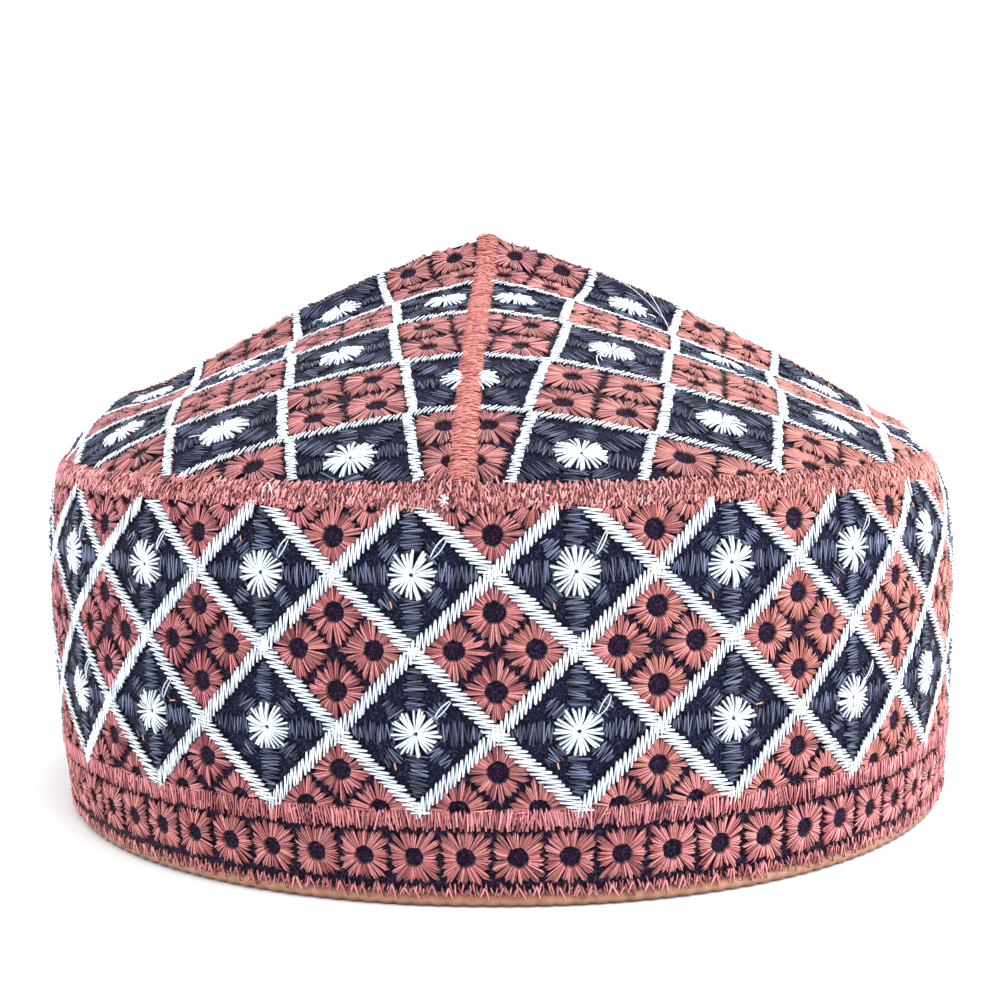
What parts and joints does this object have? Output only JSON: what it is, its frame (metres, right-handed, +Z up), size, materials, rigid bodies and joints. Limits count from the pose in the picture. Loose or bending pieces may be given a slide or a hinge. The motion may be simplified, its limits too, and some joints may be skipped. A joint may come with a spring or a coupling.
{
  "type": "kufi",
  "caption": "Round embroidered cap with an upright band, a pinched two-panel crown with a front-to-back seam, and a bound bottom edge.",
  "frame": {"origin": "middle of the plane under the bottom edge, which the cap rests on", "axes": "+Z up to the apex, -Y to the front of the cap, +X to the right in a front view; the crown's seam runs along Y and its fold along X"},
  "size_m": [0.1908, 0.1866, 0.118],
  "materials": {
    "black_cloth": "matt blue-black woven ground cloth",
    "brick_thread": "shiny rayon embroidery thread, brick red",
    "white_thread": "shiny rayon embroidery thread, white",
    "slate_thread": "shiny rayon embroidery thread, dark slate",
    "tan_binding": "smooth tan binding strip"
  },
  "bodies": {
    "root": {"side_band": "black_cloth", "crown_left": "black_cloth", "crown_right": "black_cloth", "crown_seam": "brick_thread", "ridge_seam": "brick_thread", "rim_edge": "tan_binding"}
  },
  "joints": []
}
